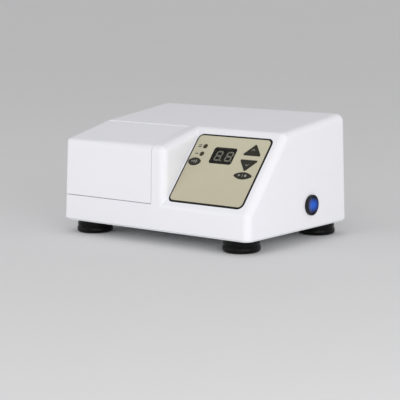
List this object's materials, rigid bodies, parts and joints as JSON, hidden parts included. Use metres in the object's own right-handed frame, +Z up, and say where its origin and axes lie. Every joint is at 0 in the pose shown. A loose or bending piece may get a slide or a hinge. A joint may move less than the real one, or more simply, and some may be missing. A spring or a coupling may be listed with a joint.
{
  "type": "dental amalgamator",
  "caption": "White desk-top capsule mixer with an opening hood over a capsule clip, a sloped keypad with a timer display, a round rocker switch and rubber feet.",
  "frame": {"origin": "middle of the whole footprint, on the desk", "axes": "+X to the right along the width, +Y to the back, +Z up; the keypad and the hood face -Y"},
  "size_m": [0.2242, 0.1588, 0.1117],
  "materials": {
    "housing_white": "satin, very fine grain",
    "lid_white": "satin, very fine grain",
    "chamber_grey": "moulded, matt",
    "plate_steel": "pale powder coat",
    "foot_rubber": "smooth, slightly shiny",
    "screw_steel": "zinc plated",
    "spring_steel": "polished",
    "magnet": "nickel plated",
    "arm_alloy": "machined",
    "motor_steel": "black paint",
    "bracket_steel": "zinc plated sheet",
    "copper": "varnished windings on a laminated core",
    "ferrite": "sintered, matt",
    "black_plastic": "smooth",
    "blue_plastic": "polished",
    "nylon": "natural",
    "board_green": "solder mask",
    "film_khaki": "textured film",
    "frame_dark": "matt",
    "key_grey": "matt",
    "window_dark": "tinted, clear",
    "lens_dark": "clear lens",
    "capacitor_blue": "shrink sleeve"
  },
  "bodies": {
    "base": {"housing": "housing_white", "base_plate": "plate_steel", "base_screws": "screw_steel", "foot_front_left": "foot_rubber", "foot_back_left": "foot_rubber", "foot_front_right": "foot_rubber", "foot_back_right": "foot_rubber", "foot_screws": "screw_steel", "lid_hinge_pin": "spring_steel", "lid_sensor": "board_green", "mixing_chamber": "chamber_grey", "chamber_screws": "screw_steel", "motor_can": "motor_steel", "motor_magnets": "ferrite", "motor_front_cap": "arm_alloy", "motor_rear_cap": "arm_alloy", "motor_cradle": "bracket_steel", "motor_straps": "bracket_steel", "strap_screws": "screw_steel", "motor_isolators": "foot_rubber", "isolator_screws": "screw_steel", "arm_guide": "nylon", "switch_body": "black_plastic", "power_inlet": "black_plastic", "inlet_pins": "screw_steel", "inlet_screws": "screw_steel", "fuse_holder": "black_plastic", "fuse_cap": "black_plastic", "power_board": "board_green", "board_standoffs": "nylon", "transformer": "ferrite", "capacitors": "capacitor_blue", "control_board": "board_green", "board_screws": "screw_steel", "display_module": "black_plastic", "display_window": "window_dark", "panel_frame": "frame_dark", "panel_film": "film_khaki", "light_high": "lens_dark", "light_low": "lens_dark"},
    "lid": {"lid": "lid_white", "lid_magnet": "magnet"},
    "rotor": {"motor_shaft": "spring_steel", "motor_armature": "copper", "wobble_hub": "spring_steel", "hub_screw": "screw_steel", "cooling_fan": "black_plastic"},
    "arm": {"capsule_arm": "arm_alloy", "arm_cap": "arm_alloy", "arm_screws": "screw_steel", "capsule_clip": "spring_steel", "clip_screws": "screw_steel"},
    "key_up": {"key_up": "key_grey"},
    "key_down": {"key_down": "key_grey"},
    "key_start": {"key_start": "key_grey"},
    "key_speed": {"key_speed": "key_grey"},
    "rocker": {"switch_rocker": "blue_plastic"}
  },
  "joints": [
    {"name": "lid_hinge", "type": "hinge", "parent": "base", "child": "lid", "pos_m": [0, -0.02595, 0.09782], "axis": [-1, 0, 0], "range_deg": [0, 105]},
    {"name": "motor_spin", "type": "hinge", "parent": "base", "child": "rotor", "pos_m": [-0.05407, 0.01875, 0.0636], "axis": [1, 0, 0], "continuous": true},
    {"name": "arm_swing", "type": "hinge", "parent": "base", "child": "arm", "pos_m": [-0.05407, 0.01875, 0.0636], "axis": [0, 0, 1], "range_deg": [-6, 6]},
    {"name": "key_up_press", "type": "slide", "parent": "base", "child": "key_up", "axis": [0, 0.7633, -0.6461], "range_m": [0, 0.0006], "stiffness_N_per_m": 5000},
    {"name": "key_down_press", "type": "slide", "parent": "base", "child": "key_down", "axis": [0, 0.7633, -0.6461], "range_m": [0, 0.0006], "stiffness_N_per_m": 5000},
    {"name": "key_start_press", "type": "slide", "parent": "base", "child": "key_start", "axis": [0, 0.7633, -0.6461], "range_m": [0, 0.0006], "stiffness_N_per_m": 5000},
    {"name": "key_speed_press", "type": "slide", "parent": "base", "child": "key_speed", "axis": [0, 0.7633, -0.6461], "range_m": [0, 0.0006], "stiffness_N_per_m": 5000},
    {"name": "power_rocker", "type": "hinge", "parent": "base", "child": "rocker", "pos_m": [0.10737, 0.01375, 0.0336], "axis": [0, 0, 1], "range_deg": [0, 18]}
  ]
}
